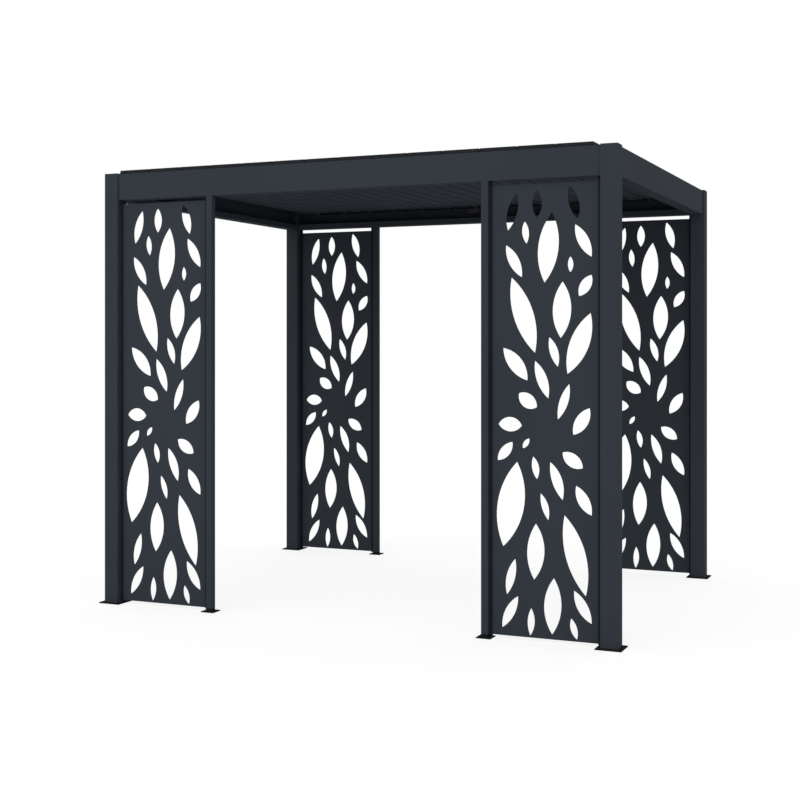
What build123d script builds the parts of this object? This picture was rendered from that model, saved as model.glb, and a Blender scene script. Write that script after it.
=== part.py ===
from build123d import *
import os
from math import cos, hypot, radians, sin

# A free-standing louvred-roof pergola in powder-coated aluminium: four corner posts carry a ring
# of gutter beams, louvres that tilt together close the roof, and a leaf-cut screen fills the bay
# beside each corner post on the front and the rear.
# Millimetres. X runs along the front, the front faces -Y, Z is up and the ground is Z = 0.

# Overall frame
WIDTH = 3050.0              # over the outer faces of the corner posts
DEPTH = 2300.0              # over the outer faces of the corner posts
HEIGHT = 2500.0             # ground to the top of the post caps
WALKWAY = 1610.0            # clear way between the screen posts
FIT = 0.3                   # clearance of a part that slides into another

# Corner posts, their bases and caps
POST = 90.0
POST_WALL = 3.0
POST_EDGE = 3.0             # outer edge radius of the extrusion
BASE = 135.0
BASE_THICK = 6.0
BASE_HOLE_SPACING = 112.0
BASE_HOLE = 11.0            # for M10 anchors
SPIGOT_HEIGHT = 100.0
SPIGOT_WALL = 4.0
DRAIN = 50.0                # rain leaves the post through the base
CAP_PLATE = 5.0
CAP_SKIRT = 12.0
CAP_WALL = 3.0
CAP_CHAMFER = 1.25

# Gutter beams
BEAM_HEIGHT = 150.0
BEAM_INSET = 10.0           # of the fascia behind the outer faces of the corner posts
BEAM_WALL = 3.0
TRACK_PLAY = 0.2            # of the bearer bar in its track
TRACK_HOOK = 6.0            # height of the hooks that hold the bearer bar
TRACK_HOOK_WALL = 2.6
SWING_CLEARANCE = 5.0       # between the swinging louvres and the gutter lip
OUTLET_WIDTH = 32.0         # gutter outlet into the post
OUTLET_HEIGHT = 24.0
OUTLET_INSET = 14.0

# Screen posts, with a foot below and a plug in the top
SCREEN_POST = 38.0
SCREEN_POST_WALL = 2.0
SCREEN_POST_EDGE = 2.0
SCREEN_POST_INSET = 11.0    # behind the outer faces of the corner posts
FOOT = 80.0
FOOT_THICK = 5.0
FOOT_HOLE_SPACING = 58.0
FOOT_HOLE = 9.0             # for M8 anchors
FOOT_SPIGOT_HEIGHT = 55.0
FOOT_SPIGOT_WALL = 3.0
GROUND_GAP = 19.0           # below the screen posts and the sheets
PLUG_HEIGHT = 30.0

# Leaf screens and their edge channels
SHEET_THICK = 3.0
SHEET_INSET = 36.0          # middle of the sheet behind the outer faces of the corner posts
SHEET_TOP_GAP = 23.0        # slit below the beam
CHANNEL_WALL = 2.0
CHANNEL_FLANGE = 18.0
CHANNEL_STOP = 6.0          # closed foot that the sheet stands on
SHEET_EDGE_GAP = 4.0        # between the sheet and the back of the channel

# Louvres
LOUVRE_COUNT = 14
LOUVRE_HEIGHT = 55.0
LOUVRE_WALL = 1.6
LOUVRE_END_GAP = 1.5        # between the louvres and the top flanges beside and behind them
LOUVRE_GAP = 3.5            # from a louvre's back to the nose of the next
NOSE_LENGTH = 46.0          # overlaps the drip lip of the louvre before it
NOSE_BASE = 28.0            # underside of the nose above the ceiling
NOSE_SLANT = 4.0
LIP_REACH = 35.0            # drip lip under the next louvre's nose
LIP_HEIGHT = 24.0
GROOVE_WIDTH = 11.0         # shadow groove along the middle of the underside
GROOVE_DEPTH = 9.0
GROOVE_TAPER = 1.0
WEB = 8.0                   # solid web above the groove
PIVOT_REACH = 149.0         # from the tip of the nose to the pivot
PIVOT_LIFT = 13.5           # of the pivot above the ceiling
END_CAP = 4.0
FRONT_CAP_INSET = 22.0      # front end of a louvre behind the outer faces of the corner posts
REAR_CAP_INSET = 66.0       # leaves room for the drive behind the louvres

# Pivots
BEARER_HEIGHT = 33.0
BEARER_THICK = 5.0
BEARER_END_GAP = 1.0
PIVOT_R = 6.0
RUNNING_FIT = 0.08          # radial
BUSH_R = 8.0
BUSH_SEAT = 0.05
BUSH_FLANGE_R = 10.0
BUSH_FLANGE = 1.5
AXIAL_PLAY = 0.5
SHOULDER_R = 9.0

# Link bar and the cranks it joins
CRANK_RADIUS = 32.0
CRANK_ANGLE = -45.0         # degrees above +X, louvres closed
CRANK_PIN_R = 4.0
CRANK_HEAD_R = 6.5
CRANK_HEAD = 2.0
CRANK_LUG_R = 9.0
LINK_HEIGHT = 14.0
LINK_THICK = 5.0
LINK_GAP = 1.0

# Drive: a worm gearbox on the shaft of one louvre and its motor
DRIVEN = 7                  # louvre number, counted from the left
CASE_HEADROOM = 0.7         # between the gearbox and the beam's top flange
WORM_CASE_LENGTH = 80.0
WORM_CASE_HEIGHT = 36.0
WORM_DROP = 38.0            # of the worm below the shaft
GEARBOX_DEPTH = 30.0
GEARBOX_EDGE = 4.0
GEARBOX_FOOT = 60.0
MOTOR_R = 15.0
MOTOR_LENGTH = 140.0
MOTOR_CHAMFER = 2.5
GLAND_R = 6.0
GLAND_LENGTH = 14.0

# Brackets and M8 bolts
BRACKET_LEG = 30.0
BRACKET_FOOT = 52.0
BRACKET_WIDTH = 30.0
BRACKET_THICK = 4.0
BRACKET_INSET = 52.0        # from the outer faces of the posts to the bracket's near edge
BRACKET_BOLT_RISE = 17.0    # of the bolt into the post, above the gutter floor
BRACKET_BOLT_REACH = 34.0   # of the bolt into the floor, from the post
BOLT_R = 4.0
BOLT_HOLE_R = 4.2
BOLT_LENGTH = 14.0          # below the head, into a post or a plug
BOLT_HEAD_R = 7.5
BOLT_HEAD = 5.5

# Leaf ornament, drawn on a field the size of one sheet's bay. Each leaf runs between two tips,
# given across from the left post and up from the sheet's lower edge, with the swell of its left
# and right sides as seen from the first tip.
LEAF_FIELD_WIDTH = 592.0
LEAF_FIELD_HEIGHT = 2303.0
LEAVES = [
    ((75, 455), (150, 890), 68, 75),
    ((95, 210), (140, 395), 25, 22),
    ((70, 40), (155, 205), 27, 25),
    ((220, 10), (225, 150), 17, 21),
    ((240, 295), (250, 580), 42, 50),
    ((335, 25), (345, 310), 47, 44),
    ((510, 230), (400, 630), 50, 55),
    ((540, 95), (450, 255), 30, 26),
    ((465, 10), (435, 115), 19, 16),
    ((175, 1075), (50, 1080), 34, 40),
    ((180, 960), (215, 1010), 14, 13),
    ((45, 895), (125, 990), 25, 28),
    ((255, 805), (235, 920), 16, 22),
    ((390, 705), (325, 895), 23, 31),
    ((495, 870), (390, 945), 35, 32),
    ((315, 600), (275, 735), 15, 21),
    ((540, 635), (460, 780), 32, 28),
    ((445, 1035), (530, 1170), 32, 35),
    ((365, 1110), (425, 1290), 22, 24),
    ((255, 1170), (160, 1240), 40, 32),
    ((315, 1215), (245, 1405), 26, 30),
    ((205, 1305), (75, 1470), 35, 41),
    ((365, 1375), (320, 1525), 20, 25),
    ((245, 1445), (120, 1830), 52, 55),
    ((380, 1520), (390, 1805), 47, 50),
    ((415, 1340), (535, 1645), 48, 52),
    ((475, 1730), (540, 1835), 28, 29),
    ((430, 1850), (430, 1930), 13, 16),
    ((540, 1925), (455, 2090), 29, 29),
    ((295, 1800), (335, 2155), 54, 54),
    ((175, 1830), (90, 1995), 28, 29),
    ((200, 2000), (190, 2115), 19, 18),
    ((100, 2070), (150, 2260), 28, 26),
    ((255, 2130), (255, 2270), 24, 27),
    ((470, 2115), (425, 2285), 26, 28),
]

# Planes and levels worked out from the sizes above
half_x = WIDTH / 2
half_y = DEPTH / 2
bay_x = half_x - POST                       # inner faces of the corner posts
bay_y = half_y - POST
post_x = half_x - POST / 2
post_y = half_y - POST / 2
beam_top = HEIGHT - CAP_PLATE
beam_low = beam_top - BEAM_HEIGHT
floor_top = beam_low + BEAM_WALL
track_high = beam_top - BEAM_WALL           # the bearer bar stands between these two levels
track_low = track_high - BEARER_HEIGHT - 2 * TRACK_PLAY
pivot_z = (track_low + track_high) / 2
ceiling_z = pivot_z - PIVOT_LIFT
beam_wall_in = BEAM_INSET + BEAM_WALL       # insets from the outer faces of the corner posts
bearer_out = beam_wall_in + TRACK_PLAY
bearer_in = bearer_out + BEARER_THICK
hook_out = bearer_in + TRACK_PLAY
hook_in = hook_out + TRACK_HOOK_WALL
flange_in = bearer_in + BUSH_FLANGE
shoulder_in = flange_in + AXIAL_PLAY

pitch = (2 * (bay_x - LOUVRE_END_GAP) - LIP_REACH) / LOUVRE_COUNT
lip_end = pitch + LIP_REACH
box_back = pitch - LOUVRE_GAP
groove_u = (NOSE_LENGTH + lip_end) / 2
swing_radius = hypot(lip_end - PIVOT_REACH, PIVOT_LIFT)
gutter_lip = pivot_z - swing_radius - SWING_CLEARANCE - beam_low
crank_u = CRANK_RADIUS * cos(radians(CRANK_ANGLE))
crank_w = CRANK_RADIUS * sin(radians(CRANK_ANGLE))
wheel_case_r = track_high - pivot_z - CASE_HEADROOM

screen_post_x = WALKWAY / 2 + SCREEN_POST / 2
screen_post_y = half_y - SCREEN_POST_INSET - SCREEN_POST / 2
screen_bay = bay_x - WALKWAY / 2 - SCREEN_POST
screen_x = bay_x - screen_bay / 2
screen_y = half_y - SHEET_INSET
sheet_low = GROUND_GAP
sheet_height = beam_low - SHEET_TOP_GAP - sheet_low

CORNERS = {
    "front_left": (-1, -1),
    "front_right": (1, -1),
    "rear_left": (-1, 1),
    "rear_right": (1, 1),
}
# Each beam is drawn as the front one and turned about Z: turn, half length, distance of the outer
# faces of the posts beside it
SIDES = {
    "front": (0, bay_x, half_y),
    "right": (90, bay_y, half_x),
    "rear": (180, bay_x, half_y),
    "left": (270, bay_y, half_x),
}
# How far each beam's top flange reaches in: over the track alone at the front, where the louvres
# end, over the drive at the rear, and over the whole gutter at the sides
TOP_REACH = {
    "front": hook_in,
    "right": POST,
    "rear": REAR_CAP_INSET - LOUVRE_END_GAP,
    "left": POST,
}


def span_box(x0, x1, y0, y1, z0, z1):
    """A block between two corners."""
    centre = Pos((x0 + x1) / 2, (y0 + y1) / 2, (z0 + z1) / 2)
    return centre * Box(x1 - x0, y1 - y0, z1 - z0)


def along_y(profile, y_low, y_high):
    """Extrude a profile drawn in X and Z from one Y to another."""
    return extrude(Plane.XZ.offset(-y_high) * profile, amount=y_high - y_low)


def rod_y(x, z, radius, y_low, y_high):
    return along_y(Pos(x, z) * Circle(radius), y_low, y_high)


def square_tube(size, wall, edge, z0, z1):
    outer = RectangleRounded(size, size, edge)
    inner = Rectangle(size - 2 * wall, size - 2 * wall)
    return Pos(0, 0, z0) * extrude(outer - inner, amount=z1 - z0)


def holed_plate(size, thick, spacing, hole):
    holes = GridLocations(spacing, spacing, 2, 2) * Circle(hole / 2)
    return extrude(Rectangle(size, size) - holes, amount=thick)


# Bolts: the seat of the head is Z = 0 of each place, with the shank below it
def bolt(length):
    head = extrude(RegularPolygon(BOLT_HEAD_R, 6), amount=BOLT_HEAD)
    return head + extrude(Circle(BOLT_R), amount=-length)


def bolt_holes(places):
    drill = Cylinder(BOLT_HOLE_R, 2 * BOLT_LENGTH)
    return [place * drill for place in places]


post_bolts = []
floor_bolts = []
for turn, half_length, face in SIDES.values():
    middle = -face + BRACKET_INSET + BRACKET_WIDTH / 2
    for end in (-1, 1):
        into_post = Pos(end * (half_length - BRACKET_THICK), middle, floor_top + BRACKET_BOLT_RISE)
        into_floor = Pos(end * (half_length - BRACKET_BOLT_REACH), middle, floor_top + BRACKET_THICK)
        post_bolts.append(Rot(0, 0, turn) * into_post * Rot(0, -90 * end, 0))
        floor_bolts.append(Rot(0, 0, turn) * into_floor)
plug_bolts = [
    Pos(sx * screen_post_x, sy * screen_post_y, floor_top) for sx, sy in CORNERS.values()
]


# Corner posts, bases and caps
def corner_post(sx, sy):
    tube = square_tube(POST, POST_WALL, POST_EDGE, BASE_THICK, beam_top)
    near = POST / 2 - OUTLET_INSET
    far = near - OUTLET_WIDTH
    outlet_top = floor_top + OUTLET_HEIGHT
    tube -= span_box(-POST, 0, -near, -far, floor_top, outlet_top)
    tube -= span_box(far, near, 0, POST, floor_top, outlet_top)
    turn = {(1, -1): 0, (1, 1): 90, (-1, 1): 180, (-1, -1): 270}[(sx, sy)]
    return Pos(sx * post_x, sy * post_y, 0) * Rot(0, 0, turn) * tube - bolt_holes(post_bolts)


def corner_base(sx, sy):
    plate = holed_plate(BASE, BASE_THICK, BASE_HOLE_SPACING, BASE_HOLE)
    spigot_size = POST - 2 * POST_WALL - 2 * FIT
    spigot = square_tube(spigot_size, SPIGOT_WALL, SPIGOT_WALL, BASE_THICK, BASE_THICK + SPIGOT_HEIGHT)
    drain = Cylinder(DRAIN / 2, 4 * BASE_THICK)
    return Pos(sx * post_x, sy * post_y, 0) * (plate + spigot - drain)


def post_cap(sx, sy):
    plate = Pos(0, 0, beam_top) * extrude(RectangleRounded(POST, POST, POST_EDGE), amount=CAP_PLATE)
    plate = chamfer(plate.faces().sort_by(Axis.Z)[-1].edges(), CAP_CHAMFER)
    skirt_size = POST - 2 * POST_WALL - 2 * FIT
    skirt = square_tube(skirt_size, CAP_WALL, CAP_WALL, beam_top - CAP_SKIRT, beam_top)
    return Pos(sx * post_x, sy * post_y, 0) * (plate + skirt)


# Gutter beam: fascia, floor, inner lip, top flange, and a hooked track for the bearer bar
def beam_profile(top_reach):
    """Drawn with X as the inset from the outer faces of the posts and Y as the height."""
    def bar(x0, x1, y0, y1):
        return Pos((x0 + x1) / 2, (y0 + y1) / 2) * Rectangle(x1 - x0, y1 - y0)

    profile = bar(BEAM_INSET, beam_wall_in, beam_low, beam_top)
    profile += bar(BEAM_INSET, POST, beam_low, floor_top)
    profile += bar(POST - BEAM_WALL, POST, beam_low, beam_low + gutter_lip)
    profile += bar(BEAM_INSET, top_reach, track_high, beam_top)
    profile += bar(hook_out, hook_in, track_high - TRACK_HOOK, beam_top)
    profile += bar(BEAM_INSET, hook_in, track_low - BEAM_WALL, track_low)
    profile += bar(hook_out, hook_in, track_low - BEAM_WALL, track_low + TRACK_HOOK)
    return profile


def gutter_beam(turn, half_length, face, top_reach):
    plane = Plane(origin=(-half_length, -face, 0), x_dir=(0, 1, 0), z_dir=(1, 0, 0))
    beam = extrude(plane * beam_profile(top_reach), amount=2 * half_length)
    return Rot(0, 0, turn) * beam - bolt_holes(floor_bolts + plug_bolts)


def beam_brackets():
    leg = Pos(BRACKET_THICK / 2, BRACKET_LEG / 2) * Rectangle(BRACKET_THICK, BRACKET_LEG)
    foot = Pos(BRACKET_FOOT / 2, BRACKET_THICK / 2) * Rectangle(BRACKET_FOOT, BRACKET_THICK)
    angle = along_y(leg + foot, -BRACKET_WIDTH / 2, BRACKET_WIDTH / 2)
    brackets = []
    for turn, half_length, face in SIDES.values():
        middle = -face + BRACKET_INSET + BRACKET_WIDTH / 2
        for end_turn, end in ((0, -1), (180, 1)):
            place = Rot(0, 0, turn) * Pos(end * half_length, middle, floor_top) * Rot(0, 0, end_turn)
            brackets.append(place * angle - bolt_holes(post_bolts + floor_bolts))
    return brackets


def frame_bolts():
    long_bolts = [place * bolt(BOLT_LENGTH) for place in post_bolts + plug_bolts]
    flush = BRACKET_THICK + BEAM_WALL
    return long_bolts + [place * bolt(flush) for place in floor_bolts]


# Screen posts
def screen_post(sx, sy):
    tube = square_tube(SCREEN_POST, SCREEN_POST_WALL, SCREEN_POST_EDGE, GROUND_GAP, beam_low)
    return Pos(sx * screen_post_x, sy * screen_post_y, 0) * tube


def screen_foot(sx, sy):
    plate = holed_plate(FOOT, FOOT_THICK, FOOT_HOLE_SPACING, FOOT_HOLE)
    spigot_size = SCREEN_POST - 2 * SCREEN_POST_WALL - 2 * FIT
    collar = square_tube(SCREEN_POST, SCREEN_POST_WALL + FIT + FOOT_SPIGOT_WALL, SCREEN_POST_EDGE,
                         FOOT_THICK, GROUND_GAP)
    spigot = square_tube(spigot_size, FOOT_SPIGOT_WALL, FOOT_SPIGOT_WALL / 2,
                         FOOT_THICK, GROUND_GAP + FOOT_SPIGOT_HEIGHT)
    return Pos(sx * screen_post_x, sy * screen_post_y, 0) * (plate + collar + spigot)


def post_plugs():
    size = SCREEN_POST - 2 * SCREEN_POST_WALL - 2 * FIT
    plug = Pos(0, 0, beam_low - PLUG_HEIGHT / 2) * Box(size, size, PLUG_HEIGHT)
    places = [Pos(sx * screen_post_x, sy * screen_post_y, 0) for sx, sy in CORNERS.values()]
    return [place * plug - bolt_holes(plug_bolts) for place in places]


# Leaf screens
def leaf(tip_a, tip_b, left, right):
    """A leaf outline of two arcs, stretched with the sheet and centred on its field."""
    across = screen_bay / LEAF_FIELD_WIDTH
    upward = sheet_height / LEAF_FIELD_HEIGHT
    ax = (tip_a[0] - LEAF_FIELD_WIDTH / 2) * across
    bx = (tip_b[0] - LEAF_FIELD_WIDTH / 2) * across
    ay = tip_a[1] * upward
    by = tip_b[1] * upward
    mid = Vector((ax + bx) / 2, (ay + by) / 2)
    side = Vector(ay - by, bx - ax).normalized()
    left_arc = ThreePointArc((ax, ay), mid + side * left * across, (bx, by))
    right_arc = ThreePointArc((bx, by), mid - side * right * across, (ax, ay))
    return make_face([left_arc, right_arc])


def leaf_sheet():
    width = screen_bay - 2 * CHANNEL_WALL - 2 * SHEET_EDGE_GAP
    field = Pos(0, sheet_height / 2) * Rectangle(width, sheet_height)
    field -= [leaf(*row) for row in LEAVES]
    return Pos(0, 0, sheet_low) * along_y(field, -SHEET_THICK / 2, SHEET_THICK / 2)


def screen_channels(sx, sy):
    """The two edge channels of one screen: on the left and right of its bay."""
    groove = SHEET_THICK + 2 * FIT
    outer = groove + 2 * CHANNEL_WALL
    u_profile = Pos(CHANNEL_FLANGE / 2, 0) * Rectangle(CHANNEL_FLANGE, outer)
    u_profile -= Pos(CHANNEL_WALL + CHANNEL_FLANGE / 2, 0) * Rectangle(CHANNEL_FLANGE, groove)
    low = sheet_low - CHANNEL_STOP
    channel = Pos(0, 0, low) * extrude(u_profile, amount=beam_low - low)
    channel += span_box(0, CHANNEL_FLANGE, -outer / 2, outer / 2, low, sheet_low)
    bay = Pos(sx * screen_x, sy * screen_y, 0)
    left = bay * Pos(-screen_bay / 2, 0, 0) * channel
    right = bay * Pos(screen_bay / 2, 0, 0) * Rot(0, 0, 180) * channel
    return [left, right]


# Pivots
def nose_x(number):
    return -bay_x + LOUVRE_END_GAP + (number - 1) * pitch


def pivot_x(number):
    return nose_x(number) + PIVOT_REACH


LOUVRES = range(1, LOUVRE_COUNT + 1)


def bearer(front):
    bar = span_box(-bay_x + BEARER_END_GAP, bay_x - BEARER_END_GAP, bearer_out - half_y,
                   bearer_in - half_y, track_low + TRACK_PLAY, track_high - TRACK_PLAY)
    for number in LOUVRES:
        bar -= rod_y(pivot_x(number), pivot_z, BUSH_R + BUSH_SEAT, -half_y, hook_in - half_y)
    return bar if front else mirror(bar, about=Plane.XZ)


def bushes(front):
    row = []
    for number in LOUVRES:
        x = pivot_x(number)
        bush = rod_y(x, pivot_z, BUSH_R, bearer_out - half_y, bearer_in - half_y)
        bush += rod_y(x, pivot_z, BUSH_FLANGE_R, bearer_in - half_y, flange_in - half_y)
        bush -= rod_y(x, pivot_z, PIVOT_R + RUNNING_FIT, -half_y, shoulder_in - half_y)
        row.append(bush if front else mirror(bush, about=Plane.XZ))
    return row


# Louvres: profiles are drawn from the tip of the nose and from the ceiling
def louvre_outline():
    wide = GROOVE_WIDTH / 2
    narrow = wide - GROOVE_TAPER
    return Polygon(
        (0, NOSE_BASE), (NOSE_LENGTH, NOSE_BASE), (NOSE_LENGTH, 0), (groove_u - wide, 0),
        (groove_u - narrow, GROOVE_DEPTH), (groove_u + narrow, GROOVE_DEPTH), (groove_u + wide, 0),
        (lip_end, 0), (lip_end, LIP_HEIGHT), (lip_end - LOUVRE_WALL, LIP_HEIGHT),
        (lip_end - LOUVRE_WALL, LOUVRE_WALL), (box_back, LOUVRE_WALL), (box_back, LOUVRE_HEIGHT),
        (NOSE_SLANT, LOUVRE_HEIGHT), align=None)


def louvre_hollows():
    low = LOUVRE_WALL
    high = LOUVRE_HEIGHT - LOUVRE_WALL
    shelf = GROOVE_DEPTH + LOUVRE_WALL
    beside = GROOVE_WIDTH / 2 + LOUVRE_WALL
    step = NOSE_LENGTH + LOUVRE_WALL
    nose_tip = 2 * LOUVRE_WALL
    front = Polygon(
        (nose_tip, NOSE_BASE + low), (step, NOSE_BASE + low), (step, low), (groove_u - beside, low),
        (groove_u - beside, shelf), (groove_u - WEB / 2, shelf), (groove_u - WEB / 2, high),
        (NOSE_SLANT + low, high), align=None)
    back_wall = box_back - LOUVRE_WALL
    back = Polygon(
        (groove_u + beside, low), (back_wall, low), (back_wall, high), (groove_u + WEB / 2, high),
        (groove_u + WEB / 2, shelf), (groove_u + beside, shelf), align=None)
    return [front, back]


def cap_outline():
    return Polygon((0, NOSE_BASE), (NOSE_LENGTH, NOSE_BASE), (NOSE_LENGTH, 0), (box_back, 0),
                   (box_back, LOUVRE_HEIGHT), (NOSE_SLANT, LOUVRE_HEIGHT), align=None)


def louvre():
    """One louvre with its nose tip at X = 0: the hollow blade and the two caps with their shafts."""
    front = FRONT_CAP_INSET - half_y
    rear = half_y - REAR_CAP_INSET
    blade = along_y(louvre_outline() - louvre_hollows(), front + END_CAP, rear - END_CAP)

    front_cap = along_y(cap_outline(), front, front + END_CAP)
    front_cap += rod_y(PIVOT_REACH, PIVOT_LIFT, SHOULDER_R, shoulder_in - half_y, front)
    front_cap += rod_y(PIVOT_REACH, PIVOT_LIFT, PIVOT_R, bearer_out - half_y, front)

    pin_u = PIVOT_REACH + crank_u
    pin_w = PIVOT_LIFT + crank_w
    pin_end = rear + 2 * LINK_GAP + LINK_THICK
    lug_rise = PIVOT_LIFT - pin_w
    lug = Pos(pin_u, pin_w) * Circle(CRANK_LUG_R)
    lug += Pos(pin_u, pin_w + lug_rise / 2) * Rectangle(2 * CRANK_LUG_R, lug_rise)
    rear_cap = along_y(cap_outline() + lug, rear - END_CAP, rear)
    rear_cap += rod_y(PIVOT_REACH, PIVOT_LIFT, SHOULDER_R, rear, half_y - shoulder_in)
    rear_cap += rod_y(PIVOT_REACH, PIVOT_LIFT, PIVOT_R, rear, half_y - bearer_out)
    rear_cap += rod_y(pin_u, pin_w, CRANK_PIN_R, rear, pin_end)
    rear_cap += rod_y(pin_u, pin_w, CRANK_HEAD_R, pin_end, pin_end + CRANK_HEAD)
    return [Pos(0, 0, ceiling_z) * piece for piece in (blade, front_cap, rear_cap)]


def link_bar():
    low = half_y - REAR_CAP_INSET + LINK_GAP
    length = (LOUVRE_COUNT - 1) * pitch + LINK_HEIGHT
    first = pivot_x(1) + crank_u
    middle = first + (LOUVRE_COUNT - 1) * pitch / 2
    profile = Pos(middle, pivot_z + crank_w) * SlotOverall(length, LINK_HEIGHT)
    for number in LOUVRES:
        hole = Circle(CRANK_PIN_R + RUNNING_FIT)
        profile -= Pos(pivot_x(number) + crank_u, pivot_z + crank_w) * hole
    return along_y(profile, low, low + LINK_THICK)


# Drive behind the louvres, on the bearer bar of the rear beam
case_near = half_y - hook_in - FIT
case_far = case_near - GEARBOX_DEPTH


def drive_gearbox():
    x = pivot_x(DRIVEN)
    worm = Pos(x, pivot_z - WORM_DROP) * RectangleRounded(WORM_CASE_LENGTH, WORM_CASE_HEIGHT, GEARBOX_EDGE)
    neck = Pos(x, pivot_z - WORM_DROP / 2) * Rectangle(2 * wheel_case_r, WORM_DROP)
    wheel = Pos(x, pivot_z) * Circle(wheel_case_r)
    case = along_y(worm + neck + wheel, case_far, case_near)
    foot_height = track_high - track_low - 2 * TRACK_HOOK - 2 * FIT
    case += span_box(x - GEARBOX_FOOT / 2, x + GEARBOX_FOOT / 2, case_near - GEARBOX_EDGE,
                     half_y - bearer_in, pivot_z - foot_height / 2, pivot_z + foot_height / 2)
    case -= rod_y(x, pivot_z, SHOULDER_R + RUNNING_FIT, case_far, half_y)
    case -= rod_y(x, pivot_z, BUSH_FLANGE_R + FIT, half_y - shoulder_in, half_y)
    return case


def drive_motor():
    x = pivot_x(DRIVEN) + WORM_CASE_LENGTH / 2
    y = (case_near + case_far) / 2
    z = pivot_z - WORM_DROP
    plane = Plane(origin=(x, y, z), z_dir=(1, 0, 0))
    can = extrude(plane * Circle(MOTOR_R), amount=MOTOR_LENGTH)
    can = chamfer(can.faces().sort_by(Axis.X)[-1].edges(), MOTOR_CHAMFER)
    gland = extrude(plane.offset(MOTOR_LENGTH) * Circle(GLAND_R), amount=GLAND_LENGTH)
    return can + gland


# Write one file for each node
os.makedirs("parts", exist_ok=True)


def save(name, shape):
    solid = Compound(children=shape) if isinstance(shape, list) else shape
    export_step(solid, f"parts/{name}.step")


sheet = leaf_sheet()
for corner, (sx, sy) in CORNERS.items():
    save(f"corner_post_{corner}", corner_post(sx, sy))
    save(f"corner_base_{corner}", corner_base(sx, sy))
    save(f"post_cap_{corner}", post_cap(sx, sy))
    save(f"screen_post_{corner}", screen_post(sx, sy))
    save(f"screen_foot_{corner}", screen_foot(sx, sy))
    save(f"screen_channels_{corner}", screen_channels(sx, sy))
    save(f"leaf_screen_{corner}", Pos(sx * screen_x, sy * screen_y, 0) * sheet)
for side, dims in SIDES.items():
    save(f"gutter_beam_{side}", gutter_beam(*dims, TOP_REACH[side]))
save("beam_brackets", beam_brackets())
save("screen_post_plugs", post_plugs())
save("frame_bolts", frame_bolts())
for side, front in (("front", True), ("rear", False)):
    save(f"pivot_bearer_{side}", bearer(front))
    save(f"pivot_bushes_{side}", bushes(front))
pieces = louvre()
for number in LOUVRES:
    save(f"louvre_{number:02d}", [Pos(nose_x(number), 0, 0) * piece for piece in pieces])
save("link_bar", link_bar())
save("drive_gearbox", drive_gearbox())
save("drive_motor", drive_motor())
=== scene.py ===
"""Finishes, fittings, light and camera for the louvred-roof pergola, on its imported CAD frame. Metres."""

import math

import bpy
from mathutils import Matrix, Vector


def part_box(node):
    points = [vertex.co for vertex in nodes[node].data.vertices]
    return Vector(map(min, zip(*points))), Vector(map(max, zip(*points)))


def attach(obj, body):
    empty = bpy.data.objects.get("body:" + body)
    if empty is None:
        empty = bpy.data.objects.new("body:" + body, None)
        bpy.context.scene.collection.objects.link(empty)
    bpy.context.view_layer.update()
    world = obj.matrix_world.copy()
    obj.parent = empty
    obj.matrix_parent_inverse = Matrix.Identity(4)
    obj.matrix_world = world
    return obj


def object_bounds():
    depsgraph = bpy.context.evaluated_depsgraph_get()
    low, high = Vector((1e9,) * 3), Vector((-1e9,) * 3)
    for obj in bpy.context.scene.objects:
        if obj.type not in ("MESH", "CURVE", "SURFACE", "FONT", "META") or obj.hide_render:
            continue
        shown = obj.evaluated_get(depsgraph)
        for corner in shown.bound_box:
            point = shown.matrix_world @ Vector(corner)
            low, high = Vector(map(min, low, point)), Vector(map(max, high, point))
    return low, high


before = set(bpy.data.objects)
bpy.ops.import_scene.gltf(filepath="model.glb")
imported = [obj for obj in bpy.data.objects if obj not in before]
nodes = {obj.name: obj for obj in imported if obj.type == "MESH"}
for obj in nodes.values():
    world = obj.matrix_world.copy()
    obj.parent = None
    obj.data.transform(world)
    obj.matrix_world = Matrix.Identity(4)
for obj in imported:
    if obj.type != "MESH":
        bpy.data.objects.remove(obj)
cad_low, cad_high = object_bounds()

# Camera, found from the photograph's vanishing points and the corners of the posts
CAMERA_PLACE = (3.176, -7.580, 1.512)
CAMERA_YAW = 23.68          # degrees to the left of straight along +Y
CAMERA_LENS = 60.0          # mm on a 36 mm sensor
CAMERA_SENSOR = 36.0
CAMERA_SHIFT = -0.0707      # the horizon lies above the middle of the photograph

# Light and stage
SKY_STRENGTH = 1.12         # on the object
BACKDROP_STRENGTH = 1.0     # to the camera and to reflections
KEY_PLACE = (-3.0, -8.0, 6.0)
KEY_SIZE = 7.0
KEY_POWER = 110.0
FLOOR_SIZE = 80.0
FLOOR_DROP = 0.0006         # keeps the floor just under the base plates
FLOOR_COLOUR = (0.58, 0.58, 0.58)
FLOOR_GLOW = 0.80           # what the camera sees of the floor before its light and shadow
FLOOR_SHADE = (0.20, 0.20, 0.20)

# Colours, linear
WHITE = (1.0, 1.0, 1.0)
ANTHRACITE = (0.0348, 0.0414, 0.0505)
BASE_BLACK = (0.0120, 0.0130, 0.0150)
# screen channels: a black coat made dark enough to stand for the shade in the reveals beside the posts, so
# painted shade as well as the coat's own colour
CHANNEL_BLACK_PAINTED_SHADE = (0.0150, 0.0175, 0.0215)
CAP_BLACK = (0.0200, 0.0220, 0.0260)
BLACK_ZINC = (0.034, 0.035, 0.037)
BLACK_ANODISED = (0.017, 0.018, 0.020)
MILL_ALUMINIUM = (0.56, 0.57, 0.58)
NYLON = (0.018, 0.018, 0.019)
CAST_BLACK = (0.030, 0.031, 0.033)
MOTOR_BLACK = (0.012, 0.012, 0.013)
RUBBER = (0.0105, 0.0105, 0.0110)

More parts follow.
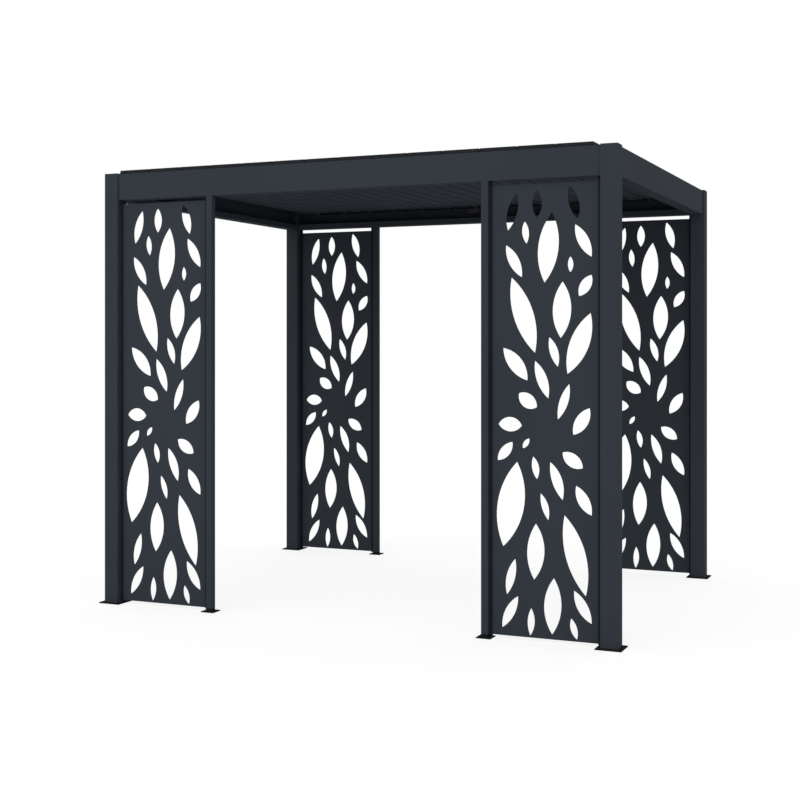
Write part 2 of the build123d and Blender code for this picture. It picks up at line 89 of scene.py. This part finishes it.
# How a pattern is stretched: slow along the length of a drawn piece, quick across it
ALONG_X = (0.6, 260.0, 260.0)
ALONG_Y = (260.0, 0.6, 260.0)
ALONG_Z = (260.0, 260.0, 0.6)
SHEET = (40.0, 40.0, 40.0)
EDGE_RADIUS = 0.0014        # rounding of the edges
SHARP_ANGLE = math.radians(35)      # edges of the fittings beyond this stay sharp

# Louvres
CAP_THICK = 0.004           # plastic end caps
BLADE_SHARE = 0.9           # of a louvre's width: its blade is wider than this, and its caps aren't
NOSE_DROP = 0.027           # underside of the nose below the top of the louvre

# Rubber seal under the nose of each louvre: a flat base with a bulb below it
SEAL_PLACE = 0.034          # behind the tip of the nose
SEAL_WIDTH = 0.010
SEAL_BASE = 0.0010
SEAL_PRESS = 0.0002         # of the base into its seat
BULB_RADIUS = 0.0018
BULB_DROP = 0.0016          # middle of the bulb below the seat
BULB_STEPS = 12

# Countersunk screws with a cross recess
SCREW_RADIUS = 0.0035
SCREW_RISE = 0.0004         # the heads lie nearly flush
SCREW_SINK = 0.0005         # of the heads' backs into what they hold
SCREW_STEPS = 32
RIM_SHARE = 0.4             # of the rise: the straight rim
CROWN_SHARE = 0.9           # of the radius: the flat top
RECESS_RADIUS = 0.0021      # ends of the cross
RECESS_CORE = 0.0008        # between the arms of the cross
RECESS_TAPER = 0.8          # floor of the recess over its mouth
CAP_SCREWS = (0.060, 0.165)     # in a louvre's end caps, behind the tip of the nose
CAP_SCREW_DROP = 0.010      # below the top of the louvre
CASE_SCREW_INSET = 0.008    # from the edges of the worm case
CASE_SCREW_PITCH = 0.020


def cleared_tree(owner):
    """The emptied node tree of a material or a world."""
    owner.use_nodes = True
    owner.node_tree.nodes.clear()
    return owner.node_tree


def shade(colour, factor=1.0):
    """A colour times a factor, as a node's socket takes it."""
    return tuple(c * factor for c in colour) + (1.0,)


class Graph:
    """A material with one principled shader, and short calls for the nodes that feed it."""

    def __init__(self, name, metallic=0.0, specular=0.5):
        self.material = bpy.data.materials.new(name)
        self.tree = cleared_tree(self.material)
        self.shader = self.node("ShaderNodeBsdfPrincipled")
        output = self.node("ShaderNodeOutputMaterial")
        self.tree.links.new(self.shader.outputs["BSDF"], output.inputs["Surface"])
        self.shader.inputs["Metallic"].default_value = metallic
        self.shader.inputs["Specular IOR Level"].default_value = specular
        self.place = self.node("ShaderNodeTexCoord").outputs["Object"]

    def node(self, kind, **settings):
        made = self.tree.nodes.new(kind)
        for key, value in settings.items():
            setattr(made, key, value)
        return made

    def feed(self, socket, value):
        """Link another node's output to a socket, or set the socket to a plain value."""
        if isinstance(value, bpy.types.NodeSocket):
            self.tree.links.new(value, socket)
        else:
            socket.default_value = value

    def stretched(self, stretch):
        """Object coordinates scaled per axis, so that a pattern draws out along the smallest one."""
        mapping = self.node("ShaderNodeMapping")
        self.feed(mapping.inputs["Vector"], self.place)
        mapping.inputs["Scale"].default_value = stretch
        return mapping.outputs["Vector"]

    def noise(self, scale, detail=2.0, roughness=0.5, place=None):
        made = self.node("ShaderNodeTexNoise")
        self.feed(made.inputs["Vector"], place or self.place)
        made.inputs["Scale"].default_value = scale
        made.inputs["Detail"].default_value = detail
        made.inputs["Roughness"].default_value = roughness
        return made.outputs["Fac"]

    def cells(self, scale):
        made = self.node("ShaderNodeTexVoronoi")
        self.feed(made.inputs["Vector"], self.place)
        made.inputs["Scale"].default_value = scale
        return made.outputs["Color"]

    def spread(self, value, low, high, start=0.3, end=0.7):
        """Carry a value between start and end onto the range from low to high."""
        made = self.node("ShaderNodeMapRange")
        self.feed(made.inputs["Value"], value)
        for key, number in (("From Min", start), ("From Max", end), ("To Min", low), ("To Max", high)):
            made.inputs[key].default_value = number
        return made.outputs["Result"]

    def maths(self, operation, first, second):
        made = self.node("ShaderNodeMath", operation=operation)
        self.feed(made.inputs[0], first)
        self.feed(made.inputs[1], second)
        return made.outputs["Value"]

    def blend(self, share, first, second, kind="MIX"):
        made = self.node("ShaderNodeMix", data_type="RGBA", blend_type=kind)
        self.feed(made.inputs["Factor"], share)
        self.feed(made.inputs["A"], first)
        self.feed(made.inputs["B"], second)
        return made.outputs["Result"]

    def tint(self, colour, value, low, high):
        """A colour that runs from low to high times itself as the noise value goes up."""
        return self.blend(self.spread(value, 0.0, 1.0), shade(colour, low), shade(colour, high))

    def edges(self):
        """Two results: a normal that rounds the edges, and a mask that is 1 on edges and 0 on open
        faces, from how far that normal leans off the true one."""
        bevel = self.node("ShaderNodeBevel", samples=6)
        bevel.inputs["Radius"].default_value = EDGE_RADIUS
        rounded = bevel.outputs["Normal"]
        lean = self.node("ShaderNodeVectorMath", operation="DOT_PRODUCT")
        self.feed(lean.inputs[0], rounded)
        self.feed(lean.inputs[1], self.node("ShaderNodeNewGeometry").outputs["Normal"])
        return rounded, self.spread(lean.outputs["Value"], low=1.0, high=0.0, start=0.80, end=0.99)

    def edge_wear_and_highlight(self, surface, edge, pale, share):
        """A surface that is part of a paler colour along its edges: partly a thinner, worn coat there and
        partly a painted highlight where the edges catch light.
        """
        return self.blend(self.maths("MULTIPLY", edge, share), surface, pale)

    def relief(self, height, distance, strength, under=None):
        made = self.node("ShaderNodeBump")
        self.feed(made.inputs["Height"], height)
        made.inputs["Distance"].default_value = distance
        made.inputs["Strength"].default_value = strength
        if under:
            self.feed(made.inputs["Normal"], under)
        return made.outputs["Normal"]

    def finish(self, colour, roughness, normal):
        self.feed(self.shader.inputs["Base Color"], colour)
        self.feed(self.shader.inputs["Roughness"], roughness)
        self.feed(self.shader.inputs["Normal"], normal)
        return self.material


def powder_coat(name, colour, stretch, caps=None):
    """Fine-textured powder coat over an extrusion drawn along the axis that stretch holds smallest.
    caps gives the two Y values beyond which the piece is its plastic end cap."""
    g = Graph(name, specular=0.015)
    drift = g.noise(scale=1.3, detail=3.0)
    blotch = g.noise(scale=380.0, detail=3.0, roughness=0.6)
    fleck = g.noise(scale=900.0, roughness=0.6)
    draw = g.noise(scale=1.0, detail=3.0, place=g.stretched(stretch))
    rounded, edge = g.edges()
    dark = shade(colour, 0.6)
    pale = shade(colour, 1.8)
    coat = g.tint(colour, drift, low=0.95, high=1.05)
    coat = g.blend(g.spread(blotch, low=0.22, high=0.0, start=0.3, end=0.6), coat, dark)
    coat = g.blend(g.spread(fleck, low=0.0, high=0.28, start=0.45, end=0.8), coat, pale)
    # paler edges: painted highlight along the edges, partly also the thinner coat there
    coat = g.edge_wear_and_highlight(coat, edge, pale, share=0.6)
    rough = g.maths("ADD", g.spread(drift, low=0.84, high=0.90), g.spread(draw, low=-0.03, high=0.04))
    peel = g.relief(g.noise(scale=210.0), distance=0.00022, strength=0.5, under=rounded)
    fine = g.noise(scale=1500.0, roughness=0.7)
    grain = g.relief(fine, distance=0.00010, strength=0.7, under=peel)
    if caps:
        place = g.node("ShaderNodeSeparateXYZ")
        g.feed(place.inputs["Vector"], g.place)
        y = place.outputs["Y"]
        cap = g.maths("MAXIMUM", g.maths("LESS_THAN", y, caps[0]), g.maths("GREATER_THAN", y, caps[1]))
        plastic = g.tint(CAP_BLACK, g.noise(scale=420.0), low=0.85, high=1.2)
        coat = g.blend(cap, coat, plastic)
        rough = g.maths("ADD", rough, g.maths("MULTIPLY", cap, 0.08))
    return g.finish(coat, rough, grain)


def black_plated(name):
    """Black zinc-plated steel, with the faint cells of its crystals and a dull passivated bloom."""
    g = Graph(name, metallic=0.8)
    bloom = g.noise(scale=35.0, detail=3.0)
    metal = g.tint(BLACK_ZINC, bloom, low=0.82, high=1.2)
    metal = g.blend(0.14, metal, g.cells(scale=160.0), "OVERLAY")
    rounded, edge = g.edges()
    # paler edges: partly worn plating, partly a painted highlight
    metal = g.edge_wear_and_highlight(metal, edge, shade(BLACK_ZINC, 3.0), share=0.4)
    rough = g.spread(g.noise(scale=240.0), low=0.42, high=0.56)
    pits = g.noise(scale=900.0, detail=3.0)
    return g.finish(metal, rough, g.relief(pits, distance=0.00004, strength=0.6, under=rounded))


def drawn_aluminium(name, colour, stretch):
    """Extruded aluminium: die lines along its length and slightly paler edges, partly wear and partly a
    painted highlight.
    """
    g = Graph(name, metallic=1.0)
    lines = g.noise(scale=1.0, detail=4.0, roughness=0.7, place=g.stretched(stretch))
    metal = g.tint(colour, lines, low=0.84, high=1.06)
    rounded, edge = g.edges()
    # paler edges: partly wear, partly a painted highlight
    metal = g.edge_wear_and_highlight(metal, edge, shade(colour, 1.3), share=0.5)
    rough = g.spread(lines, low=0.34, high=0.50)
    return g.finish(metal, rough, g.relief(lines, distance=0.00006, strength=0.6, under=rounded))


def moulded_nylon(name):
    """Black nylon, with a faint cloud of colour and the fine skin of its mould."""
    g = Graph(name, specular=0.4)
    body = g.tint(NYLON, g.noise(scale=60.0), low=0.85, high=1.2)
    rough = g.spread(g.noise(scale=700.0), low=0.42, high=0.56)
    return g.finish(body, rough, g.relief(g.noise(scale=1300.0), distance=0.00004, strength=0.6))


def cast_housing(name):
    """Die-cast housing: a grained skin under a satin black coat, paler along the edges, partly where the
    coat is thin and partly as a painted highlight.
    """
    g = Graph(name, specular=0.3)
    skin = g.noise(scale=420.0, detail=3.0, roughness=0.6)
    metal = g.tint(CAST_BLACK, skin, low=0.86, high=1.1)
    rounded, edge = g.edges()
    # paler edges: partly thin coat, partly a painted highlight
    metal = g.edge_wear_and_highlight(metal, edge, shade(CAST_BLACK, 2.5), share=0.4)
    rough = g.spread(skin, low=0.46, high=0.62)
    return g.finish(metal, rough, g.relief(skin, distance=0.00012, strength=0.6, under=rounded))


def motor_paint(name):
    """Smooth black paint that drifts a little in colour and gloss."""
    g = Graph(name, specular=0.45)
    drift = g.noise(scale=28.0, detail=3.0)
    paint = g.tint(MOTOR_BLACK, drift, low=0.85, high=1.25)
    rough = g.spread(drift, low=0.30, high=0.42)
    return g.finish(paint, rough, g.relief(g.noise(scale=520.0), distance=0.00005, strength=0.5))


def seal_rubber(name):
    """Extruded rubber: dull black, with fine lines along its length and a faint grey bloom."""
    g = Graph(name, specular=0.25)
    lines = g.noise(scale=1.0, detail=3.0, place=g.stretched(ALONG_Y))
    rubber = g.tint(RUBBER, g.noise(scale=45.0, detail=3.0), low=0.8, high=1.4)
    rough = g.spread(lines, low=0.70, high=0.86)
    return g.finish(rubber, rough, g.relief(lines, distance=0.00005, strength=0.6))


def louvre_cap_planes():
    """The two Y planes between a louvre's blade and its end caps, found from its own vertices: the
    blade is wider than the caps by its drip lip."""
    low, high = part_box("louvre_01")
    spans = {}
    for vertex in nodes["louvre_01"].data.vertices:
        x = vertex.co.x
        y = round(vertex.co.y, 4)
        left, right = spans.get(y, (x, x))
        spans[y] = (min(left, x), max(right, x))
    wide = BLADE_SHARE * (high.x - low.x)
    blade = [y for y, (left, right) in spans.items() if right - left > wide]
    return min(blade), max(blade)


cap_planes = louvre_cap_planes()

MATERIALS = {
    "posts": powder_coat("anthracite_coat_posts", ANTHRACITE, ALONG_Z),
    "beams_x": powder_coat("anthracite_coat_beams", ANTHRACITE, ALONG_X),
    "beams_y": powder_coat("anthracite_coat_side_beams", ANTHRACITE, ALONG_Y),
    "louvres": powder_coat("anthracite_coat_louvres", ANTHRACITE, ALONG_Y, cap_planes),
    "screens": powder_coat("anthracite_coat_screens", ANTHRACITE, SHEET),
    "bases": powder_coat("black_coat_bases", BASE_BLACK, SHEET),
    # channels: black coat with the painted shade of the reveals
    "channels": powder_coat("black_coat_painted_shade_channels", CHANNEL_BLACK_PAINTED_SHADE, ALONG_Z),
    "plated": black_plated("black_zinc_steel"),
    "mill": drawn_aluminium("mill_aluminium", MILL_ALUMINIUM, ALONG_X),
    "anodised": drawn_aluminium("black_anodised_aluminium", BLACK_ANODISED, ALONG_X),
    "nylon": moulded_nylon("moulded_nylon"),
    "housing": cast_housing("cast_housing"),
    "motor": motor_paint("motor_paint"),
    "rubber": seal_rubber("seal_rubber"),
}
# The finish of each CAD node, from the first row that its name starts with
FINISHES = [
    ("corner_post_", "posts"),
    ("post_cap_", "posts"),
    ("screen_post_plugs", "nylon"),
    ("screen_post_", "posts"),
    ("screen_channels_", "channels"),
    ("screen_foot_", "bases"),
    ("corner_base_", "bases"),
    ("gutter_beam_front", "beams_x"),
    ("gutter_beam_rear", "beams_x"),
    ("gutter_beam_", "beams_y"),
    ("leaf_screen_", "screens"),
    ("louvre_", "louvres"),
    ("beam_brackets", "plated"),
    ("frame_bolts", "plated"),
    ("pivot_bearer_", "mill"),
    ("link_bar", "anodised"),
    ("pivot_bushes_", "nylon"),
    ("drive_gearbox", "housing"),
    ("drive_motor", "motor"),
]
for name, node in nodes.items():
    finish = next(key for start, key in FINISHES if name.startswith(start))
    node.data.materials.clear()
    node.data.materials.append(MATERIALS[finish])


def add_object(name, data):
    made = bpy.data.objects.new(name, data)
    bpy.context.scene.collection.objects.link(made)
    return made


def add_mesh(name, points, faces, material):
    mesh = bpy.data.meshes.new(name)
    mesh.from_pydata(points, [], faces)
    mesh.materials.append(material)
    return add_object(name, mesh)


def fitting(name, points, faces, body, finish):
    """A small piece that rides on a body, smooth but for its sharp edges."""
    made = add_mesh(name, points, faces, MATERIALS[finish])
    made.data.polygons.foreach_set("use_smooth", [True] * len(faces))
    made.data.set_sharp_from_angle(angle=SHARP_ANGLE)
    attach(made, body)


def seal_profile():
    """Outline of the seal, across and up from its seat."""
    half = SEAL_WIDTH / 2
    lean = math.asin((BULB_DROP - SEAL_BASE) / BULB_RADIUS)
    outline = [(half, SEAL_PRESS), (-half, SEAL_PRESS), (-half, -SEAL_BASE)]
    for step in range(BULB_STEPS + 1):
        angle = math.pi - lean + (math.pi + 2 * lean) * step / BULB_STEPS
        outline.append((BULB_RADIUS * math.cos(angle), BULB_RADIUS * math.sin(angle) - BULB_DROP))
    return outline + [(half, -SEAL_BASE)]


def nose_seal(louvre):
    """The seal under a louvre's nose, with its bulb just above the drip lip of the louvre before it."""
    low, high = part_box(louvre)
    x = low.x + SEAL_PLACE
    z = high.z - NOSE_DROP
    outline = seal_profile()
    points = [(x + across, y, z + up) for y in cap_planes for across, up in outline]
    count = len(outline)
    faces = [tuple(range(count)), tuple(reversed(range(count, 2 * count)))]
    for here in range(count):
        after = (here + 1) % count
        faces.append((here, count + here, count + after, after))
    fitting(f"{louvre}_seal", points, faces, louvre, "rubber")


def recess_radius(step):
    """Outline of the cross recess: four narrow arms."""
    quarter = SCREW_STEPS // 4
    off_arm = min(step % quarter, -step % quarter)
    return RECESS_RADIUS if off_arm <= 1 else RECESS_CORE


def screw_heads(places):
    """Points and faces of countersunk heads. A place is a point on a face, and 1 or -1 for the way along
    Y that the face looks."""
    turns = [2 * math.pi * step / SCREW_STEPS for step in range(SCREW_STEPS)]
    rim = [SCREW_RADIUS] * SCREW_STEPS
    crown = [SCREW_RADIUS * CROWN_SHARE] * SCREW_STEPS
    mouth = [recess_radius(step) for step in range(SCREW_STEPS)]
    recess_floor = [radius * RECESS_TAPER for radius in mouth]
    rings = [
        (rim, -SCREW_SINK),
        (rim, SCREW_RISE * RIM_SHARE),
        (crown, SCREW_RISE),
        (mouth, SCREW_RISE),
        (recess_floor, 0.0),
    ]
    points = []
    faces = []
    for x, y, z, outward in places:
        first = len(points)
        for radii, rise in rings:
            for radius, turn in zip(radii, turns):
                points.append((x + radius * math.cos(turn), y + outward * rise, z + radius * math.sin(turn)))
        last = len(points) - SCREW_STEPS
        head = [tuple(reversed(range(first, first + SCREW_STEPS))), tuple(range(last, len(points)))]
        for ring in range(first, last, SCREW_STEPS):
            for step in range(SCREW_STEPS):
                here = ring + step
                after = ring + (step + 1) % SCREW_STEPS
                head.append((here, after, after + SCREW_STEPS, here + SCREW_STEPS))
        faces += [face if outward < 0 else tuple(reversed(face)) for face in head]
    return points, faces


def cap_screws(louvre):
    low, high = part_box(louvre)
    z = high.z - CAP_SCREW_DROP
    ends = ((cap_planes[0] - CAP_THICK, -1), (cap_planes[1] + CAP_THICK, 1))
    places = [(low.x + x, y, z, outward) for x in CAP_SCREWS for y, outward in ends]
    points, faces = screw_heads(places)
    fitting(f"{louvre}_cap_screws", points, faces, louvre, "plated")


def gearbox_screws():
    low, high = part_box("drive_gearbox")
    lower = low.z + CASE_SCREW_INSET
    xs = (low.x + CASE_SCREW_INSET, high.x - CASE_SCREW_INSET)
    zs = (lower, lower + CASE_SCREW_PITCH)
    points, faces = screw_heads([(x, low.y, z, -1) for x in xs for z in zs])
    fitting("gearbox_screws", points, faces, "frame", "plated")


louvres = [name for name in nodes if name.startswith("louvre_")]
for louvre in louvres:
    nose_seal(louvre)
    cap_screws(louvre)
gearbox_screws()


def seen_directly(tree):
    """1 for camera, glossy and transmission rays."""
    path = tree.nodes.new("ShaderNodeLightPath")
    total = path.outputs["Is Camera Ray"]
    for ray in ("Is Glossy Ray", "Is Transmission Ray"):
        added = tree.nodes.new("ShaderNodeMath")
        added.operation = "MAXIMUM"
        tree.links.new(total, added.inputs[0])
        tree.links.new(path.outputs[ray], added.inputs[1])
        total = added.outputs["Value"]
    return total


def choose(tree, unseen, seen):
    """One shader for the rays that light the object, and another for those that see the stage."""
    choice = tree.nodes.new("ShaderNodeMixShader")
    tree.links.new(seen_directly(tree), choice.inputs["Fac"])
    tree.links.new(unseen, choice.inputs[1])
    tree.links.new(seen, choice.inputs[2])
    return choice.outputs["Shader"]


def floor_material():
    """White to the camera and to reflections, with the object's shadow left in it."""
    material = bpy.data.materials.new("pale_floor")
    tree = cleared_tree(material)

    def diffuse(colour):
        made = tree.nodes.new("ShaderNodeBsdfDiffuse")
        made.inputs["Color"].default_value = shade(colour)
        return made.outputs["BSDF"]

    glow = tree.nodes.new("ShaderNodeEmission")
    glow.inputs["Strength"].default_value = FLOOR_GLOW
    seen = tree.nodes.new("ShaderNodeAddShader")
    tree.links.new(glow.outputs["Emission"], seen.inputs[0])
    tree.links.new(diffuse(FLOOR_SHADE), seen.inputs[1])
    output = tree.nodes.new("ShaderNodeOutputMaterial")
    surface = choose(tree, diffuse(FLOOR_COLOUR), seen.outputs["Shader"])
    tree.links.new(surface, output.inputs["Surface"])
    return material


def stage_floor():
    half = FLOOR_SIZE / 2
    corners = [(-half, -half), (half, -half), (half, half), (-half, half)]
    points = [(x, y, -FLOOR_DROP) for x, y in corners]
    floor = add_mesh("floor", points, [(0, 1, 2, 3)], floor_material())


def white_world():
    world = bpy.data.worlds.new("white_studio")
    bpy.context.scene.world = world
    tree = cleared_tree(world)

    def white(strength):
        made = tree.nodes.new("ShaderNodeBackground")
        made.inputs["Color"].default_value = shade(WHITE)
        made.inputs["Strength"].default_value = strength
        return made.outputs["Background"]

    output = tree.nodes.new("ShaderNodeOutputWorld")
    surface = choose(tree, white(SKY_STRENGTH), white(BACKDROP_STRENGTH))
    tree.links.new(surface, output.inputs["Surface"])


def soft_key():
    """One large soft lamp, high in front of the object and to its left."""
    lamp = bpy.data.lights.new("soft_key", "AREA")
    lamp.energy = KEY_POWER
    lamp.size = KEY_SIZE
    made = add_object("soft_key", lamp)
    made.location = KEY_PLACE
    middle = (cad_low + cad_high) / 2
    made.rotation_euler = (middle - made.location).to_track_quat("-Z", "Y").to_euler()


def photo_camera():
    lens = bpy.data.cameras.new("photo_camera")
    lens.sensor_width = CAMERA_SENSOR
    lens.lens = CAMERA_LENS
    lens.shift_y = CAMERA_SHIFT
    made = add_object("photo_camera", lens)
    made.location = CAMERA_PLACE
    made.rotation_euler = (math.radians(90), 0, math.radians(CAMERA_YAW))
    bpy.context.scene.camera = made


stage_floor()
white_world()
soft_key()
photo_camera()
bpy.context.scene.view_settings.view_transform = "Standard"
